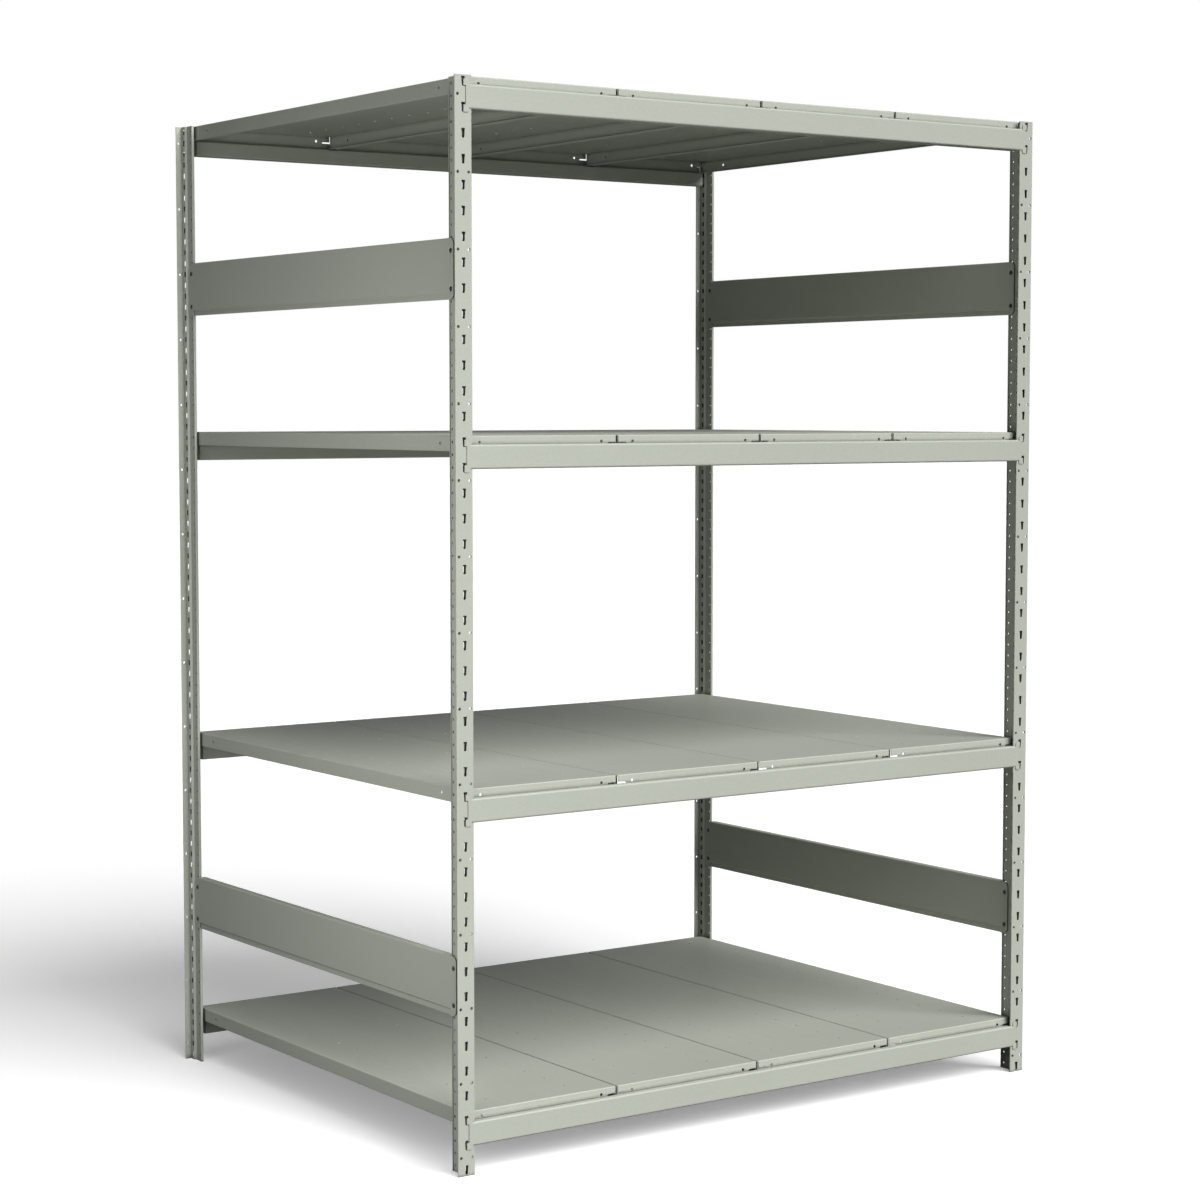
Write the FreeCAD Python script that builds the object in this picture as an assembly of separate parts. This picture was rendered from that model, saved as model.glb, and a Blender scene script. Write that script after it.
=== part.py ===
"""Boltless steel shelving unit: slotted T-posts, step beams, drop-in decks and side tie panels.

Frame: millimetres, +Z up, front towards -Y. The origin is on the floor, midway between the posts.
Every physical piece is written as its own STEP file in parts/.
"""

import FreeCAD
import Part
import math
import os

from FreeCAD import Vector

# ---------------------------------------------------------------- overall sizes
POST_SPACING = 1524.0          # left post centre line to right post centre line
UNIT_DEPTH = 1232.0            # front post face to rear post face
POST_HEIGHT = 2209.8
SHELF_COUNT = 4
DECKS_PER_SHELF = 4

# ---------------------------------------------------------------- posts
POST_GAUGE = 1.6               # sheet thickness; the flanges and the web are folded double
POST_FACE_WIDTH = 39.7
POST_DEPTH = 50.8              # face to the rear edge of the web
STEM_WIDTH = 12.0              # box stem behind the keyholes, outside
STEM_DEPTH = 24.0              # face to where the stem has narrowed to the web
SEAM_LENGTH = 3.2              # folded seam along the free edge of the web
HEM_ROUNDNESS = 0.8            # outside radius of a folded edge, as a share of the gauge

SLOT_PITCH = 50.8
SLOT_HEIGHT = 19.05
SLOT_HEAD_WIDTH = 8.3
SLOT_HEAD_HEIGHT = 3.5
SLOT_SHOULDER = 0.9            # height of the slope between head and leg
SLOT_LEG_TOP_WIDTH = 7.0
SLOT_LEG_FOOT_WIDTH = 5.4
SLOT_MARGIN = 3.175            # post end to the nearest slot end

FACE_HOLE_DIAMETER = 6.35
FACE_HOLE_SPACING = 25.4       # between the two holes of a pair
SLOTS_PER_FACE_HOLE_PAIR = 3

WEB_HOLE_DIAMETER = 5.6
WEB_HOLE_DEPTH = 41.9          # post face to the hole centres
WEB_HOLES_PER_SLOT = 2
SIDE_SLOT_HEIGHT = 11.8
SIDE_SLOT_WIDTH = 8.2
SIDE_SLOT_DEPTH = 14.6         # post face to the slot centres
SIDE_SLOT_CORNER = 1.5

# ---------------------------------------------------------------- beams and connectors
BOTTOM_SHELF_SLOTS_UP = 2      # slots left free below the bottom shelf's upper hook
BEAM_GAUGE = 1.6
BEAM_TOP_DROP = 14.3           # upper slot top to beam top
BEAM_HEIGHT = 49.2
BEAM_RIM_DEPTH = 17.5          # front face to the step
BEAM_STEP_DROP = 14.3          # beam top to the ledge that carries the decks
BEAM_LEDGE_DEPTH = 14.25
BEAM_BEND_RADIUS = 4.0

CONNECTOR_GAUGE = 1.8
CONNECTOR_TOP_DROP = 5.0       # upper slot top to connector top
CONNECTOR_FOOT_MARGIN = 19.2   # lower slot top to connector foot
CONNECTOR_EAR_WIDTH = 13.5     # slot centre line to the outer edge of the ears
CONNECTOR_EAR_RADIUS = 4.5
CONNECTOR_RECESS_EDGE = 5.6    # slot centre line to the edge between the hooks
CONNECTOR_END_GAP = 0.5        # post edge to the leg that closes the beam end
HOOK_INSET = 0.2               # slot centre line to the near side of the hook
HOOK_SLOT_TOP_GAP = 5.0        # slot top to the top of the hook
HOOK_SLOT_FOOT_GAP = 1.55      # slot foot to the underside of the hook's neck
HOOK_POST_GAP = 0.3            # between the hook and the inside of the post face
HOOK_REACH = 5.0               # depth of the hook behind that gap
HOOK_DROP = 8.0                # how far the hook hangs below its neck

# ---------------------------------------------------------------- decks
DECK_GAUGE = 1.2
DECK_HEIGHT = 31.775
DECK_BEND_RADIUS = 2.4         # outside
DECK_POST_GAP = 1.0            # to the side of the post's box stem
DECK_BEAM_GAP = 0.8            # to the beam's step
DECK_JOINT_GAP = 3.0           # between neighbouring decks
DECK_LIP_WIDTH = 11.0          # return lip under each side flange
DECK_CORNER_RELIEF = 1.8       # end flange stops this short of the deck's side
DECK_NOTCH_WIDTH = 22.2        # from the deck's side, at the foot of the end flange
DECK_NOTCH_HEIGHT = 17.1
DECK_NOTCH_RADIUS = 3.0
DECK_HOLE_DIAMETER = 6.35
DECK_HOLE_INSET = 88.9         # deck side to the row of holes in the top
DECK_HOLE_PITCH = 76.2
DECK_HOLE_END_MARGIN = 50.0    # least distance from the last hole to the deck's end
END_HOLE_INSET = 38.1
END_HOLE_DROP = 13.3
SIDE_HOLE_INSET = 88.9
SIDE_HOLE_DROP = 15.9

# ---------------------------------------------------------------- side tie panels
TIE_GAUGE = 1.5
TIE_HOLES_IN = 13              # web holes between a post's end and the panel's nearer screws
TIE_HOLE_PITCHES = 3           # web hole pitches between the panel's two rows of screws
TIE_TOP_MARGIN = 25.0          # upper screw to the panel's top
TIE_FOOT_MARGIN = 21.0
TIE_END_DEPTH = 31.0           # post face to the panel's end
TIE_END_RADIUS = 12.7
TIE_POST_GAP = 1.5             # rear edge of the post to the folded stretch of the panel
TIE_FLANGE_WIDTH = 16.0
TIE_BEND_RADIUS = 3.0          # outside
TIE_LIP_HEIGHT = 11.0
TIE_LIP_OFFSET = 3.0
DIMPLE_RADIUS = 5.6
DIMPLE_FLOOR_RADIUS = 4.8
DISH_RADIUS = 9.5              # shallow dish pressed into the panel's outside round each dimple
DISH_DEPTH = 0.7

SCREW_DIAMETER = 4.8
SCREW_HEAD_DIAMETER = 8.4
SCREW_HEAD_HEIGHT = 2.2
SCREW_SOCKET_WIDTH = 3.0       # across flats
SCREW_SOCKET_DEPTH = 1.3
SCREW_TIP_LENGTH = 1.5         # thread showing past the nut
NUT_WIDTH = 8.0                # across flats
NUT_HEIGHT = 3.6
NUT_CLEARANCE = 0.05           # between the nut's bore and the screw, on the radius

# ---------------------------------------------------------------- worked out from the sizes above
HALF_SPACING = POST_SPACING / 2
HALF_DEPTH = UNIT_DEPTH / 2
WEB_HALF = POST_GAUGE
SEAM_HALF = 2 * POST_GAUGE
STEM_HALF = STEM_WIDTH / 2
WEB_HOLE_PITCH = SLOT_PITCH / WEB_HOLES_PER_SLOT
FIRST_WEB_HOLE_DROP = SLOT_MARGIN + SLOT_HEIGHT / 2
CONNECTOR_BOTTOM_DROP = SLOT_PITCH + CONNECTOR_FOOT_MARGIN
CONNECTOR_LEG = POST_FACE_WIDTH / 2 + CONNECTOR_END_GAP
BEAM_END_INSET = CONNECTOR_LEG + CONNECTOR_GAUGE
BEAM_DEPTH = BEAM_RIM_DEPTH + BEAM_LEDGE_DEPTH
LEDGE_DROP = BEAM_TOP_DROP + BEAM_STEP_DROP
DECK_FIELD_WIDTH = POST_SPACING - STEM_WIDTH - 2 * DECK_POST_GAP
DECK_PITCH = DECK_FIELD_WIDTH / DECKS_PER_SHELF
DECK_WIDTH = DECK_PITCH - DECK_JOINT_GAP
DECK_FRONT = BEAM_RIM_DEPTH - CONNECTOR_GAUGE + DECK_BEAM_GAP
DECK_LENGTH = UNIT_DEPTH - 2 * DECK_FRONT
TIE_STAND_OFF = SEAM_HALF - WEB_HALF

LEVEL_NAMES = ["top", "upper", "lower", "bottom"]
SMALL = 1e-6


# ================================================================ drawing helpers
def unit(vector):
    """Vector of length one along another vector."""
    result = Vector(vector)
    result.normalize()
    return result


def corner_arc(before, corner, after, radius):
    """Start, middle and end of the arc that rounds a corner."""
    back = unit(before - corner)
    ahead = unit(after - corner)
    half_angle = back.getAngle(ahead) / 2
    reach = radius / math.tan(half_angle)
    bisector = unit(back + ahead)
    centre = corner + bisector * (radius / math.sin(half_angle))
    return corner + back * reach, centre - bisector * radius, corner + ahead * reach


def rounded_wire(points, radii):
    """Closed wire through points, with each corner rounded by its own radius (0 for a sharp one)."""
    count = len(points)
    edges = []
    stops = []
    for index, (corner, radius) in enumerate(zip(points, radii)):
        if radius < SMALL:
            stops.append((corner, None, corner))
            continue
        stops.append(corner_arc(points[index - 1], corner, points[(index + 1) % count], radius))
    for index, (start, middle, end) in enumerate(stops):
        if middle is not None:
            edges.append(Part.Arc(start, middle, end).toShape())
        following = stops[(index + 1) % count][0]
        if end.distanceToPoint(following) > SMALL:
            edges.append(Part.LineSegment(end, following).toShape())
    return Part.Wire(edges)


def prism(points, radii, direction):
    """Solid with a rounded polygon for its section, drawn out along a direction."""
    return Part.Face(rounded_wire(points, radii)).extrude(direction)


def strip_prism(path, gauge, bend_radius, direction):
    """Bent sheet: a strip of one thickness to the left of an open path, with round bends.

    bend_radius is the outside radius, and each bend keeps the sheet's thickness.
    """
    side_normal = unit(direction)
    legs = [unit(end - start) for start, end in zip(path, path[1:])]
    lefts = [side_normal.cross(leg) for leg in legs]
    other_side = [path[0] + lefts[0] * gauge]
    near_radii = [0.0]
    far_radii = [0.0]
    for index in range(1, len(path) - 1):
        bisector = unit(lefts[index - 1] + lefts[index])
        stretch = gauge / bisector.dot(lefts[index])
        other_side.append(path[index] + bisector * stretch)
        turns_left = lefts[index - 1].dot(legs[index]) > 0
        inner_radius = max(bend_radius - gauge, 0.0)
        near_radii.append(bend_radius if turns_left else inner_radius)
        far_radii.append(inner_radius if turns_left else bend_radius)
    other_side.append(path[-1] + lefts[-1] * gauge)
    near_radii.append(0.0)
    far_radii.append(0.0)
    outline = list(path) + other_side[::-1]
    return prism(outline, near_radii + far_radii[::-1], direction)


def box(low, high):
    """Axis-aligned solid between two corners."""
    size = high - low
    return Part.makeBox(size.x, size.y, size.z, low)


def round_tool(centre, direction, length, diameter):
    """Cylinder centred on a point, for cutting a round hole."""
    axis = unit(direction)
    return Part.makeCylinder(diameter / 2, length, centre - axis * (length / 2), axis)


def fused(shapes):
    """One solid from several that touch or overlap."""
    return shapes[0].fuse(shapes[1:]).removeSplitter()


def placed(shape, across=0.0, along=0.0, up=0.0, half_turn=False, mirror_x=False):
    """Copy of a shape, mirrored or turned about the Z axis first and then moved."""
    result = shape.copy()
    if mirror_x:
        result = result.mirror(Vector(0, 0, 0), Vector(1, 0, 0))
    if half_turn:
        result.rotate(Vector(0, 0, 0), Vector(0, 0, 1), 180)
    result.translate(Vector(across, along, up))
    return result


def export(name, shape):
    """Write one node, after a check that it is closed and sound."""
    for solid in shape.Solids:
        if not solid.isValid() or not solid.isClosed() or solid.Volume <= 0:
            raise ValueError("unsound solid in " + name)
    shape.exportStep(os.path.join("parts", name + ".step"))


# ================================================================ places
def slot_count():
    """Number of keyholes that a post of this height takes."""
    room = POST_HEIGHT - 2 * SLOT_MARGIN - SLOT_HEIGHT
    return int(room / SLOT_PITCH + SMALL) + 1


def slot_top(index):
    """Height of the top of a keyhole, counted from the top of the post."""
    return POST_HEIGHT - SLOT_MARGIN - index * SLOT_PITCH


def shelf_slots():
    """For each level from the top down, the keyhole that takes the upper hooks."""
    bottom_slot = slot_count() - 1 - BOTTOM_SHELF_SLOTS_UP
    steps = SHELF_COUNT - 1
    return [math.ceil(level * bottom_slot / steps - SMALL) for level in range(SHELF_COUNT)]


def web_hole_heights():
    """Heights of the small web holes, from the top down."""
    room = POST_HEIGHT - 2 * FIRST_WEB_HOLE_DROP
    count = int(room / WEB_HOLE_PITCH + SMALL) + 1
    return [POST_HEIGHT - FIRST_WEB_HOLE_DROP - index * WEB_HOLE_PITCH for index in range(count)]


def face_hole_heights():
    """Heights of the round hole pairs, midway between a keyhole and the next one down."""
    first_drop = SLOT_MARGIN + (SLOT_HEIGHT + SLOT_PITCH) / 2
    pitch = SLOTS_PER_FACE_HOLE_PAIR * SLOT_PITCH
    count = int((POST_HEIGHT - 2 * first_drop) / pitch + SMALL) + 1
    return [POST_HEIGHT - first_drop - index * pitch for index in range(count)]


def deck_top(level_slot):
    """Height of the deck surface on the level whose upper hooks are in this keyhole."""
    return slot_top(level_slot) - LEDGE_DROP + DECK_HEIGHT


# ================================================================ posts
def post_section():
    """Face of the T-section, with the post's face on y = 0 and its web towards +Y."""
    plate_half = POST_FACE_WIDTH / 2
    plate_back = 2 * POST_GAUGE
    slope_start = STEM_DEPTH - (STEM_HALF - WEB_HALF)
    seam_start = POST_DEPTH - SEAM_LENGTH
    fold = HEM_ROUNDNESS * POST_GAUGE
    right_side = [
        (plate_half, 0.0, fold),
        (plate_half, plate_back, fold),
        (STEM_HALF, plate_back, 0.0),
        (STEM_HALF, slope_start, 0.0),
        (WEB_HALF, STEM_DEPTH, 0.0),
        (WEB_HALF, seam_start, 0.0),
        (SEAM_HALF, seam_start, 0.0),
        (SEAM_HALF, POST_DEPTH, fold),
    ]
    points = [Vector(x, y, 0) for x, y, radius in right_side]
    points += [Vector(-x, y, 0) for x, y, radius in reversed(right_side)]
    radii = [radius for x, y, radius in right_side]
    radii += radii[::-1]
    outer = Part.Face(rounded_wire(points, radii))
    hollow_half = STEM_HALF - POST_GAUGE
    apex = STEM_DEPTH + WEB_HALF - POST_GAUGE * math.sqrt(2)
    hollow_points = [
        Vector(-hollow_half, POST_GAUGE, 0),
        Vector(hollow_half, POST_GAUGE, 0),
        Vector(hollow_half, apex - hollow_half, 0),
        Vector(0, apex, 0),
        Vector(-hollow_half, apex - hollow_half, 0),
    ]
    hollow = Part.Face(Part.makePolygon(hollow_points + hollow_points[:1]))
    return outer.cut(hollow).Faces[0]


def keyhole_tool(top):
    """Cutter for one keyhole: a wide head over a tapered leg with a round foot."""
    head = SLOT_HEAD_WIDTH / 2
    leg = SLOT_LEG_TOP_WIDTH / 2
    foot = SLOT_LEG_FOOT_WIDTH / 2
    head_foot = top - SLOT_HEAD_HEIGHT
    right = [(head, top), (head, head_foot), (leg, head_foot - SLOT_SHOULDER), (foot, top - SLOT_HEIGHT)]
    radii = [0.0, 0.0, 0.0, 0.8 * foot]
    front = -POST_GAUGE
    points = [Vector(x, front, z) for x, z in right]
    points += [Vector(-x, front, z) for x, z in reversed(right)]
    return prism(points, radii + radii[::-1], Vector(0, 2.5 * POST_GAUGE, 0))


def side_slot_tool(height):
    """Cutter for one rounded slot through both sides of the box stem."""
    near = SIDE_SLOT_DEPTH - SIDE_SLOT_WIDTH / 2
    far = SIDE_SLOT_DEPTH + SIDE_SLOT_WIDTH / 2
    low = height - SIDE_SLOT_HEIGHT / 2
    high = height + SIDE_SLOT_HEIGHT / 2
    start = -STEM_WIDTH
    points = [Vector(start, near, low), Vector(start, far, low), Vector(start, far, high), Vector(start, near, high)]
    return prism(points, [SIDE_SLOT_CORNER] * 4, Vector(2 * STEM_WIDTH, 0, 0))


def make_post():
    """One post, standing on z = 0 with its face on y = 0 and its centre line on x = 0."""
    body = post_section().extrude(Vector(0, 0, POST_HEIGHT))
    tools = [keyhole_tool(slot_top(index)) for index in range(slot_count())]
    for height in face_hole_heights():
        for side in (-1, 1):
            centre = Vector(side * FACE_HOLE_SPACING / 2, 0, height)
            tools.append(round_tool(centre, Vector(0, 1, 0), 8 * POST_GAUGE, FACE_HOLE_DIAMETER))
    for height in web_hole_heights():
        centre = Vector(0, WEB_HOLE_DEPTH, height)
        tools.append(round_tool(centre, Vector(1, 0, 0), 8 * POST_GAUGE, WEB_HOLE_DIAMETER))
        tools.append(side_slot_tool(height))
    return body.cut(tools).Solids[0]


# ================================================================ beams and connectors
def step_outline(front, inset=0.0):
    """Step outline in the Y-Z plane, z from the upper slot's top; inset shrinks it evenly."""
    top = -BEAM_TOP_DROP - inset
    ledge = -LEDGE_DROP - inset
    foot = -BEAM_TOP_DROP - BEAM_HEIGHT + inset
    near = front + inset
    step = front + BEAM_RIM_DEPTH - inset
    far = front + BEAM_DEPTH - inset
    corners = [(near, foot), (near, top), (step, top), (step, ledge), (far, ledge), (far, foot)]
    return [Vector(0, y, z) for y, z in corners]


def step_radii(inset=0.0):
    """Bend radii for step_outline: the one inward corner grows where the others shrink."""
    outward = max(BEAM_BEND_RADIUS - inset, SMALL / 2)
    inward = BEAM_GAUGE / 2 + inset
    return [outward, outward, outward, inward, outward, outward]


def make_beam():
    """Front beam between its connectors, with x = 0 at mid length and z = 0 at the upper slot's top."""
    length = POST_SPACING - 2 * BEAM_END_INSET
    front = -CONNECTOR_GAUGE
    along = Vector(length, 0, 0)
    outer = prism(step_outline(front), step_radii(), along)
    inner = prism(step_outline(front, BEAM_GAUGE), step_radii(BEAM_GAUGE), along)
    beam = outer.cut(inner)
    beam.translate(Vector(-length / 2, 0, 0))
    return beam.Solids[0]


def connector_plate():
    """Plate on the post's face, from the hooks to the beam's end."""
    front = -CONNECTOR_GAUGE
    top = -CONNECTOR_TOP_DROP
    bottom = -CONNECTOR_BOTTOM_DROP
    upper_foot = -SLOT_HEIGHT + HOOK_SLOT_FOOT_GAP
    lower_head = -SLOT_PITCH - HOOK_SLOT_TOP_GAP
    beam_top = -BEAM_TOP_DROP
    beam_foot = beam_top - BEAM_HEIGHT
    hook = HOOK_INSET + CONNECTOR_GAUGE
    ear = CONNECTOR_EAR_WIDTH
    corner = CONNECTOR_EAR_RADIUS
    outline = [
        (hook, top, 0.0),
        (ear, top, corner),
        (ear, beam_top, 1.0),
        (BEAM_END_INSET, beam_top, 0.0),
        (BEAM_END_INSET, beam_foot, 0.0),
        (ear, beam_foot, 1.0),
        (ear, bottom, corner),
        (hook, bottom, 0.0),
        (hook, lower_head, 0.0),
        (CONNECTOR_RECESS_EDGE, lower_head, 1.2),
        (CONNECTOR_RECESS_EDGE, upper_foot, 1.2),
        (hook, upper_foot, 0.0),
    ]
    points = [Vector(x, front, z) for x, z, radius in outline]
    return prism(points, [radius for x, z, radius in outline], Vector(0, CONNECTOR_GAUGE, 0))


def hook_bend(low, high):
    """Rounded edge where the plate turns into a slot, between two heights."""
    centre = Vector(HOOK_INSET + CONNECTOR_GAUGE, 0, low)
    turn = Part.makeCylinder(CONNECTOR_GAUGE, high - low, centre)
    quarter_low = Vector(HOOK_INSET, -CONNECTOR_GAUGE, low)
    quarter_high = Vector(HOOK_INSET + CONNECTOR_GAUGE, 0, high)
    return turn.common(box(quarter_low, quarter_high))


def hook_blade(slot_drop):
    """Hook that passes through the slot whose top lies slot_drop below z = 0."""
    high = -slot_drop - HOOK_SLOT_TOP_GAP
    neck = -slot_drop - SLOT_HEIGHT + HOOK_SLOT_FOOT_GAP
    inside = POST_GAUGE + HOOK_POST_GAP
    tip = inside + HOOK_REACH
    outline = [
        (0.0, high, 0.0),
        (tip, high, 1.5),
        (tip, neck - HOOK_DROP, 1.5),
        (inside, neck - HOOK_DROP, 1.0),
        (inside, neck, 0.0),
        (0.0, neck, 0.0),
    ]
    points = [Vector(HOOK_INSET, y, z) for y, z, radius in outline]
    return prism(points, [radius for y, z, radius in outline], Vector(CONNECTOR_GAUGE, 0, 0))


def make_connector():
    """Connector on the right of a post's centre line, with z = 0 at the upper slot's top."""
    end_leg = prism(step_outline(-CONNECTOR_GAUGE), step_radii(), Vector(CONNECTOR_GAUGE, 0, 0))
    end_leg.translate(Vector(CONNECTOR_LEG, 0, 0))
    upper_foot = -SLOT_HEIGHT + HOOK_SLOT_FOOT_GAP
    lower_head = -SLOT_PITCH - HOOK_SLOT_TOP_GAP
    pieces = [
        connector_plate(),
        end_leg,
        hook_bend(upper_foot, -CONNECTOR_TOP_DROP),
        hook_bend(-CONNECTOR_BOTTOM_DROP, lower_head),
        hook_blade(0.0),
        hook_blade(SLOT_PITCH),
    ]
    connector = fused(pieces)
    front_edge = box(
        Vector(CONNECTOR_EAR_WIDTH, -CONNECTOR_GAUGE - 1, -CONNECTOR_BOTTOM_DROP),
        Vector(BEAM_END_INSET, 0, 0),
    )
    bent_front = prism(step_outline(-CONNECTOR_GAUGE), step_radii(), Vector(BEAM_END_INSET, 0, 0))
    return connector.cut(front_edge.cut(bent_front)).Solids[0]


# ================================================================ decks
def deck_channel():
    """Deck top with its two side flanges and their return lips."""
    half = DECK_WIDTH / 2
    foot = -DECK_HEIGHT
    start = DECK_BEND_RADIUS
    path = [
        (-half + DECK_LIP_WIDTH, foot),
        (-half, foot),
        (-half, 0.0),
        (half, 0.0),
        (half, foot),
        (half - DECK_LIP_WIDTH, foot),
    ]
    points = [Vector(x, start, z) for x, z in path]
    return strip_prism(points, DECK_GAUGE, DECK_BEND_RADIUS, Vector(0, DECK_LENGTH - 2 * start, 0))


def deck_end_flange():
    """Front end flange, bent down from the top sheet, with its two lower corners cut away."""
    half = DECK_WIDTH / 2 - DECK_CORNER_RELIEF
    path = [
        Vector(-half, 2 * DECK_BEND_RADIUS, 0),
        Vector(-half, 0, 0),
        Vector(-half, 0, -DECK_HEIGHT),
    ]
    flange = strip_prism(path, DECK_GAUGE, DECK_BEND_RADIUS, Vector(2 * half, 0, 0))
    notch_top = DECK_NOTCH_HEIGHT - DECK_HEIGHT
    inner = DECK_WIDTH / 2 - DECK_NOTCH_WIDTH
    tools = []
    for side in (-1, 1):
        corners = [
            Vector(side * inner, -1, notch_top),
            Vector(side * DECK_WIDTH, -1, notch_top),
            Vector(side * DECK_WIDTH, -1, -2 * DECK_HEIGHT),
            Vector(side * inner, -1, -2 * DECK_HEIGHT),
        ]
        tools.append(prism(corners, [DECK_NOTCH_RADIUS, 0, 0, 0], Vector(0, 2 + DECK_GAUGE, 0)))
    return flange.cut(tools)


def deck_hole_tools():
    """Cutters for every hole in a deck."""
    half = DECK_WIDTH / 2
    room = DECK_LENGTH - 2 * DECK_HOLE_END_MARGIN
    intervals = int(room / DECK_HOLE_PITCH + SMALL)
    first = (DECK_LENGTH - intervals * DECK_HOLE_PITCH) / 2
    depth = 4 * DECK_GAUGE
    tools = []
    for side in (-1, 1):
        for index in range(intervals + 1):
            centre = Vector(side * (half - DECK_HOLE_INSET), first + index * DECK_HOLE_PITCH, 0)
            tools.append(round_tool(centre, Vector(0, 0, 1), depth, DECK_HOLE_DIAMETER))
        for end in (0, DECK_LENGTH):
            centre = Vector(side * (half - END_HOLE_INSET), end, -END_HOLE_DROP)
            tools.append(round_tool(centre, Vector(0, 1, 0), depth, DECK_HOLE_DIAMETER))
        for end in (SIDE_HOLE_INSET, DECK_LENGTH - SIDE_HOLE_INSET):
            centre = Vector(side * half, end, -SIDE_HOLE_DROP)
            tools.append(round_tool(centre, Vector(1, 0, 0), depth, DECK_HOLE_DIAMETER))
    return tools


def make_deck():
    """One deck, with its top on z = 0, its front end on y = 0 and its middle on x = 0."""
    front = deck_end_flange()
    rear = placed(front, along=DECK_LENGTH, half_turn=True)
    return fused([deck_channel(), front, rear]).cut(deck_hole_tools()).Solids[0]


# ================================================================ side tie panels
def tie_screw_places():
    """Screw centres on one panel: (y from the front post's face, z from the lower row)."""
    rise = TIE_HOLE_PITCHES * WEB_HOLE_PITCH
    return [(y, z) for y in (WEB_HOLE_DEPTH, UNIT_DEPTH - WEB_HOLE_DEPTH) for z in (0.0, rise)]


def make_tie_panel():
    """Panel with its inner face on x = 0 and its lower row of screws on z = 0; y from the post's face."""
    top = TIE_HOLE_PITCHES * WEB_HOLE_PITCH + TIE_TOP_MARGIN
    foot = -TIE_FOOT_MARGIN
    start = TIE_END_DEPTH
    end = UNIT_DEPTH - TIE_END_DEPTH
    fold_start = POST_DEPTH + TIE_POST_GAP
    fold_length = UNIT_DEPTH - 2 * fold_start
    outline = [Vector(-TIE_GAUGE, y, z) for y, z in ((start, foot), (end, foot), (end, top), (start, top))]
    plate = prism(outline, [TIE_END_RADIUS] * 4, Vector(TIE_GAUGE, 0, 0))
    window = box(Vector(-TIE_GAUGE, fold_start, foot), Vector(0, fold_start + fold_length, top))
    lip_top = foot + TIE_LIP_HEIGHT
    path = [
        (TIE_LIP_OFFSET - TIE_GAUGE, foot),
        (TIE_LIP_OFFSET - TIE_GAUGE, lip_top),
        (-TIE_GAUGE, lip_top + TIE_LIP_OFFSET),
        (-TIE_GAUGE, top),
        (TIE_FLANGE_WIDTH - TIE_GAUGE, top),
    ]
    points = [Vector(x, fold_start, z) for x, z in path]
    folded = strip_prism(points, TIE_GAUGE, TIE_BEND_RADIUS, Vector(0, fold_length, 0))
    panel = fused([plate.cut(window), folded])
    for y, z in tie_screw_places():
        panel = panel.fuse(dimple_cone(y, z, 0.0))
        panel = panel.cut(dish(y, z)).cut(dimple_cone(y, z, -TIE_GAUGE))
        hole = round_tool(Vector(0, y, z), Vector(1, 0, 0), 8 * TIE_GAUGE, WEB_HOLE_DIAMETER)
        panel = panel.cut(hole)
    return panel.removeSplitter().Solids[0]


def dimple_cone(y, z, start):
    """Shallow cone that reaches from a panel's face at x = start towards the post's web."""
    return Part.makeCone(DIMPLE_RADIUS, DIMPLE_FLOOR_RADIUS, TIE_STAND_OFF, Vector(start, y, z), Vector(1, 0, 0))


def dish(y, z):
    """Cutter for the shallow dish in the panel's outside."""
    return Part.makeCone(DISH_RADIUS, DIMPLE_RADIUS, DISH_DEPTH, Vector(-TIE_GAUGE, y, z), Vector(1, 0, 0))


def screw_head_plane():
    """Where the screw head bears on the dimple's floor, in the panel's own x."""
    return TIE_STAND_OFF - TIE_GAUGE


def nut_plane():
    """Where the nut bears on the far side of the post's web, in the panel's own x."""
    return TIE_STAND_OFF + 2 * WEB_HALF


def make_screw(y, z):
    """Socket-head screw through a panel and a post web."""
    plane = screw_head_plane()
    along = Vector(1, 0, 0)
    tip = nut_plane() + NUT_HEIGHT + SCREW_TIP_LENGTH
    head_start = plane - SCREW_HEAD_HEIGHT
    head = Part.makeCylinder(SCREW_HEAD_DIAMETER / 2, SCREW_HEAD_HEIGHT, Vector(head_start, y, z), along)
    rim = [edge for edge in head.Edges if edge.isClosed() and abs(edge.CenterOfMass.x - head_start) < SMALL]
    head = head.makeFillet(0.3 * SCREW_HEAD_HEIGHT, rim)
    shank = Part.makeCylinder(SCREW_DIAMETER / 2, tip - plane, Vector(plane, y, z), along)
    socket = hexagon(SCREW_SOCKET_WIDTH, head_start, y, z, SCREW_SOCKET_DEPTH)
    return fused([head, shank]).cut(socket).Solids[0]


def make_nut(y, z):
    """Plain hexagon nut on the far side of a post's web."""
    plane = nut_plane()
    blank = hexagon(NUT_WIDTH, plane, y, z, NUT_HEIGHT)
    bore_radius = SCREW_DIAMETER / 2 + NUT_CLEARANCE
    bore = Part.makeCylinder(bore_radius, 2 * NUT_HEIGHT, Vector(plane - NUT_HEIGHT / 2, y, z), Vector(1, 0, 0))
    return blank.cut(bore).Solids[0]


def hexagon(across_flats, start, y, z, length):
    """Hexagonal prism along +X from x = start."""
    radius = across_flats / math.sqrt(3)
    turns = [math.radians(60 * index) for index in range(6)]
    points = [Vector(start, y + radius * math.cos(turn), z + radius * math.sin(turn)) for turn in turns]
    return prism(points, [0.0] * 6, Vector(length, 0, 0))


# ================================================================ assembly
def export_posts():
    """Four posts, with the rear ones turned to face the rear."""
    post = make_post()
    for side, across in (("left", -HALF_SPACING), ("right", HALF_SPACING)):
        export("post_front_" + side, placed(post, across, -HALF_DEPTH))
        export("post_rear_" + side, placed(post, across, HALF_DEPTH, half_turn=True))


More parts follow.
